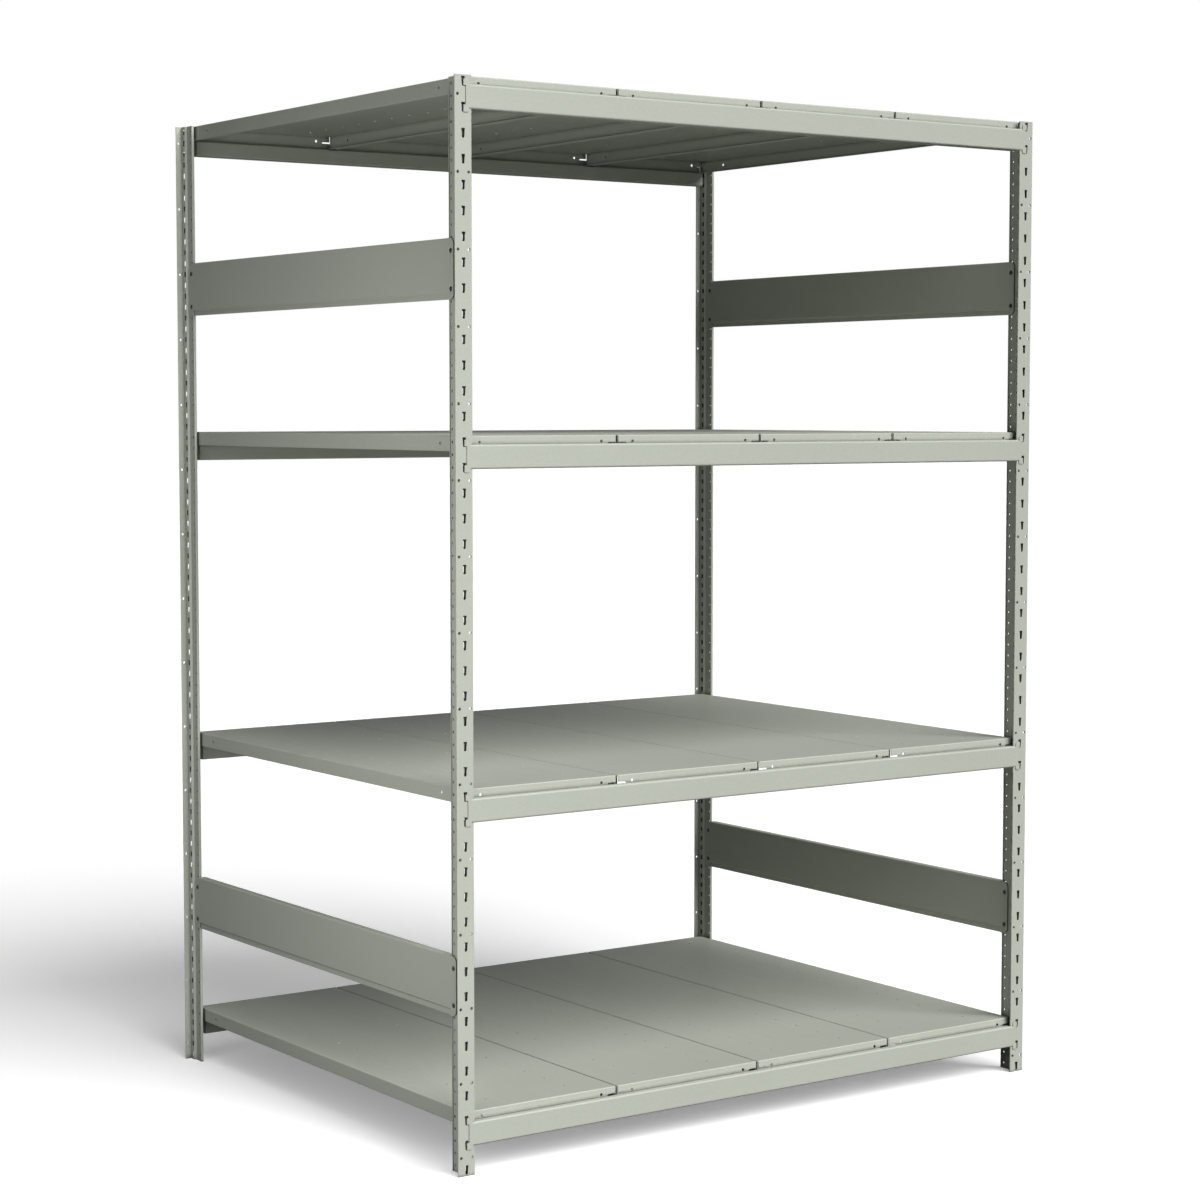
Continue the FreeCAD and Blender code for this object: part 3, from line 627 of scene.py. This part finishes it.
def screw_tree(sizes, material):
    """Tree for a low-head socket screw whose head starts at its seat and whose tip points along +X."""
    made = FastenerTree("Tie screws", sizes)
    tree = made.tree
    radius = calculate(tree, "MULTIPLY", made.size("Head Diameter"), 0.5)
    crown = calculate(tree, "MULTIPLY", made.size("Head Height"), CROWN_SHARE)
    brim = calculate(tree, "SUBTRACT", made.size("Head Height"), crown)
    crown_radius = calculate(tree, "MULTIPLY", radius, CROWN_NARROWING)
    shank_radius = calculate(tree, "MULTIPLY", made.size("Shank Diameter"), 0.5)
    shank_length = calculate(tree, "SUBTRACT", made.size("Length"), made.size("Head Height"))
    point = calculate(tree, "MULTIPLY", made.size("Shank Diameter"), POINT_SHARE)
    body_length = calculate(tree, "SUBTRACT", shank_length, point)
    socket_radius = calculate(tree, "MULTIPLY", made.size("Socket Width"), 0.5)
    socket_length = calculate(tree, "MULTIPLY", made.size("Head Height"), SOCKET_SHARE)
    facets = made.size("Facets")
    socket = made.barrel(
        HEX_SIDES, socket_radius, socket_radius, calculate(tree, "MULTIPLY", socket_length, 2.0),
        calculate(tree, "MULTIPLY", socket_length, -1.0),
    )
    tip_radius = calculate(tree, "MULTIPLY", shank_radius, POINT_NARROWING)
    tip_start = calculate(tree, "ADD", made.size("Head Height"), body_length)
    parts = [
        made.carve(made.barrel(facets, crown_radius, radius, crown, 0.0), socket),
        made.carve(made.barrel(facets, radius, radius, brim, crown), socket),
        made.barrel(facets, shank_radius, shank_radius, body_length, made.size("Head Height")),
        made.barrel(facets, shank_radius, tip_radius, point, tip_start),
    ]
    made.finish(made.unite(*parts), material)
    return made


def nut_tree(sizes, material):
    """Tree for a hexagon nut that bears on its seat and stands along +X."""
    made = FastenerTree("Tie nuts", sizes)
    tree = made.tree
    radius = calculate(tree, "MULTIPLY", made.size("Nut Width"), 0.5)
    bevel = calculate(tree, "MULTIPLY", made.size("Nut Height"), NUT_BEVEL_SHARE)
    plain = calculate(tree, "SUBTRACT", made.size("Nut Height"), bevel)
    bore_radius = calculate(tree, "MULTIPLY", made.size("Bore Diameter"), 0.5)
    bore = made.barrel(
        made.size("Facets"), bore_radius, bore_radius,
        calculate(tree, "MULTIPLY", made.size("Nut Height"), 3.0),
        calculate(tree, "MULTIPLY", made.size("Nut Height"), -1.0),
    )
    top_radius = calculate(tree, "MULTIPLY", radius, NUT_NARROWING)
    parts = [
        made.carve(made.barrel(HEX_SIDES, radius, radius, plain, 0.0), bore),
        made.carve(made.barrel(HEX_SIDES, radius, top_radius, bevel, plain), bore),
    ]
    corners_level = add_node(tree, "GeometryNodeTransform")
    corners_level.inputs["Rotation"].default_value = (HEX_TURN, 0.0, 0.0)
    join(tree, made.unite(*parts), corners_level.inputs["Geometry"])
    made.finish(corners_level.outputs["Geometry"], material)
    return made


def build_fasteners(name, places, made, sizes, nodes):
    """Plain mesh from a fastener tree on the given places, riding on the unit."""
    mesh = bpy.data.meshes.new(name + "_seats")
    mesh.from_pydata(places, [], [])
    worker = bpy.data.objects.new(name + "_worker", mesh)
    bpy.context.scene.collection.objects.link(worker)
    modifier = worker.modifiers.new("Fasteners", "NODES")
    modifier.node_group = made.tree
    for label, value in sizes.items():
        modifier[made.identifiers[label]] = value
    graph = bpy.context.evaluated_depsgraph_get()
    finished = bpy.data.meshes.new_from_object(worker.evaluated_get(graph))
    finished.name = name
    bpy.data.objects.remove(worker)
    if not finished.polygons:
        raise RuntimeError(name + " came out empty")
    piece = bpy.data.objects.new(name, finished)
    bpy.context.scene.collection.objects.link(piece)
    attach(piece, UNIT_BODY)
    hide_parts(*nodes)
    return piece


# ------------------------------------------------------------------ operators
class CoatPosts(bpy.types.Operator):
    """Give the four slotted posts their powder coat."""

    bl_idname = "shelving.coat_posts"
    bl_label = "Coat posts"

    def execute(self, context):
        coat_nodes("post_", coat_material("post_coat"))
        return {"FINISHED"}


class CoatBeams(bpy.types.Operator):
    """Give the step beams their powder coat."""

    bl_idname = "shelving.coat_beams"
    bl_label = "Coat beams"

    def execute(self, context):
        coat_nodes("beam_", coat_material("beam_coat"))
        return {"FINISHED"}


class CoatConnectors(bpy.types.Operator):
    """Give the hooked beam connectors their powder coat."""

    bl_idname = "shelving.coat_connectors"
    bl_label = "Coat connectors"

    def execute(self, context):
        coat_nodes("connectors_", coat_material("connector_coat"))
        return {"FINISHED"}


class CoatDecks(bpy.types.Operator):
    """Give the drop-in decks their powder coat, with faint scuffs."""

    bl_idname = "shelving.coat_decks"
    bl_label = "Coat decks"

    def execute(self, context):
        coat_nodes("deck_", coat_material("deck_coat", with_scuffs=True))
        return {"FINISHED"}


class CoatTiePanels(bpy.types.Operator):
    """Give the side tie panels their powder coat."""

    bl_idname = "shelving.coat_tie_panels"
    bl_label = "Coat tie panels"

    def execute(self, context):
        coat_nodes("tie_panel_", coat_material("tie_panel_coat"))
        return {"FINISHED"}


class FitScrews(bpy.types.Operator):
    """Fit a socket screw in every hole of the tie panels."""

    bl_idname = "shelving.fit_screws"
    bl_label = "Fit screws"

    def execute(self, context):
        chosen = context.scene.shelving_fastener
        low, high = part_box(SCREW_NODES[0])
        sizes = {
            "Head Diameter": chosen.head_diameter,
            "Head Height": chosen.head_height,
            "Shank Diameter": chosen.shank_diameter,
            "Socket Width": chosen.socket_width,
            "Length": high.x - low.x,
            "Facets": chosen.facets,
        }
        made = screw_tree(sizes, plating_material())
        places = seats(SCREW_NODES, chosen.head_diameter)
        build_fasteners("tie_panel_screws", places, made, sizes, SCREW_NODES)
        return {"FINISHED"}


class FitNuts(bpy.types.Operator):
    """Fit a hexagon nut on every screw of the tie panels."""

    bl_idname = "shelving.fit_nuts"
    bl_label = "Fit nuts"

    def execute(self, context):
        chosen = context.scene.shelving_fastener
        low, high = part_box(NUT_NODES[0])
        screw_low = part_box(SCREW_NODES[0])[0]
        sizes = {
            "Nut Width": chosen.nut_width,
            "Nut Height": high.x - low.x,
            "Bore Diameter": chosen.shank_diameter,
            "Facets": chosen.facets,
        }
        offset = Vector((low.x - screw_low.x, 0.0, 0.0))
        places = [place + offset for place in seats(SCREW_NODES, chosen.head_diameter)]
        made = nut_tree(sizes, plating_material())
        build_fasteners("tie_panel_nuts", places, made, sizes, NUT_NODES)
        return {"FINISHED"}


class BuildStudio(bpy.types.Operator):
    """Set up the floor, the lights and the camera."""

    bl_idname = "shelving.build_studio"
    bl_label = "Build studio"

    def execute(self, context):
        chosen = context.scene.shelving_studio
        lay_floor(chosen)
        light_room(chosen)
        place_camera(chosen)
        return {"FINISHED"}


def lay_floor(chosen):
    """Wide pale floor under the posts."""
    reach = STUDIO_REACH
    corners = [(-reach, -reach, 0.0), (reach, -reach, 0.0), (reach, reach, 0.0), (-reach, reach, 0.0)]
    mesh = bpy.data.meshes.new("studio_floor")
    mesh.from_pydata(corners, [], [(0, 1, 2, 3)])
    floor = bpy.data.objects.new("studio_floor", mesh)
    bpy.context.scene.collection.objects.link(floor)
    material, shader = empty_material("studio_floor")
    tree = material.node_tree
    seen = add_node(tree, "ShaderNodeLightPath").outputs["Is Camera Ray"]
    bounce = [chosen.floor_bounce * channel for channel in chosen.floor_colour] + [1.0]
    tint = add_node(tree, "ShaderNodeMix", data_type="RGBA")
    join(tree, seen, tint.inputs["Factor"])
    tint.inputs["A"].default_value = bounce
    tint.inputs["B"].default_value = list(chosen.floor_colour) + [1.0]
    join(tree, tint.outputs["Result"], shader.inputs["Base Color"])
    lift = calculate(tree, "MULTIPLY", seen, chosen.floor_lift)
    shader.inputs["Emission Color"].default_value = WHITE
    join(tree, lift, shader.inputs["Emission Strength"])
    shader.inputs["Roughness"].default_value = FLOOR_ROUGHNESS
    shader.inputs["Specular IOR Level"].default_value = FLOOR_SPECULAR
    mesh.materials.append(material)


def hang_sun(name, strength, softness, towards):
    """Light from very far away, in the direction given by towards."""
    sun = bpy.data.lights.new(name, "SUN")
    sun.energy = strength
    sun.angle = softness
    holder = bpy.data.objects.new(name, sun)
    holder.rotation_euler = Vector(towards).to_track_quat("Z", "Y").to_euler()
    bpy.context.scene.collection.objects.link(holder)


def light_room(chosen):
    """Key, back and fill lights and an even room light, shown with the Standard view transform."""
    hang_sun("key_light", chosen.key_strength, chosen.key_softness, KEY_TOWARDS)
    hang_sun("back_light", chosen.back_strength, chosen.key_softness, BACK_TOWARDS)
    softbox = bpy.data.lights.new("fill_light", "AREA")
    softbox.shape = "RECTANGLE"
    softbox.size, softbox.size_y = FILL_WIDTH, FILL_HEIGHT
    softbox.energy = chosen.fill_power
    holder = bpy.data.objects.new("fill_light", softbox)
    holder.location = FILL_PLACE
    holder.rotation_euler = Vector(FILL_TOWARDS).to_track_quat("Z", "Y").to_euler()
    holder.visible_camera = False
    bpy.context.scene.collection.objects.link(holder)
    bpy.context.scene.view_settings.view_transform = "Standard"
    world = bpy.data.worlds.new("studio_room")
    bpy.context.scene.world = world
    world.use_nodes = True
    tree = world.node_tree
    background = tree.nodes["Background"]
    background.inputs["Color"].default_value = WHITE
    seen = add_node(tree, "ShaderNodeLightPath").outputs["Is Camera Ray"]
    spare = calculate(tree, "MULTIPLY", seen, 1.0 - chosen.room_strength)
    join(tree, calculate(tree, "ADD", spare, chosen.room_strength), background.inputs["Strength"])


def place_camera(chosen):
    """Camera at eye height, to the front left of the unit."""
    lens = bpy.data.cameras.new("studio_camera")
    lens.lens = chosen.lens
    lens.sensor_width = SENSOR_WIDTH
    lens.clip_end = 4 * STUDIO_REACH
    camera = bpy.data.objects.new("studio_camera", lens)
    camera.location = chosen.camera_place
    level = math.cos(chosen.camera_tilt)
    ahead = Vector((
        math.sin(chosen.camera_turn) * level,
        math.cos(chosen.camera_turn) * level,
        -math.sin(chosen.camera_tilt),
    ))
    camera.rotation_euler = ahead.to_track_quat("-Z", "Y").to_euler()
    bpy.context.scene.collection.objects.link(camera)
    bpy.context.scene.camera = camera


OPERATORS = (
    CoatPosts, CoatBeams, CoatConnectors, CoatDecks, CoatTiePanels, FitScrews, FitNuts, BuildStudio,
)
SETTINGS = {
    "shelving_coat": CoatSettings,
    "shelving_deck": DeckSettings,
    "shelving_fastener": FastenerSettings,
    "shelving_studio": StudioSettings,
}


class ShelvingPanel(bpy.types.Panel):
    """Lists every step that dresses the shelving unit."""

    bl_idname = "VIEW3D_PT_shelving"
    bl_label = "Boltless shelving"
    bl_space_type = "VIEW_3D"
    bl_region_type = "UI"
    bl_category = "Shelving"

    def draw(self, context):
        for attribute, settings in SETTINGS.items():
            box = self.layout.box()
            for name in settings.__annotations__:
                box.prop(getattr(context.scene, attribute), name)
        for operator in OPERATORS:
            self.layout.operator(operator.bl_idname)


CLASSES = tuple(SETTINGS.values()) + OPERATORS + (ShelvingPanel,)


def register():
    """Make the settings, the operators and the panel known."""
    for known in CLASSES:
        bpy.utils.register_class(known)
    for attribute, settings in SETTINGS.items():
        setattr(bpy.types.Scene, attribute, PointerProperty(type=settings))


def unregister():
    """Take them away again."""
    for attribute in SETTINGS:
        delattr(bpy.types.Scene, attribute)
    for known in reversed(CLASSES):
        bpy.utils.unregister_class(known)


def main():
    """Dress the unit."""
    register()
    bpy.ops.shelving.coat_posts()
    bpy.ops.shelving.coat_beams()
    bpy.ops.shelving.coat_connectors()
    bpy.ops.shelving.coat_decks()
    bpy.ops.shelving.coat_tie_panels()
    bpy.ops.shelving.fit_screws()
    bpy.ops.shelving.fit_nuts()
    bpy.ops.shelving.build_studio()


if __name__ == "__main__":
    main()
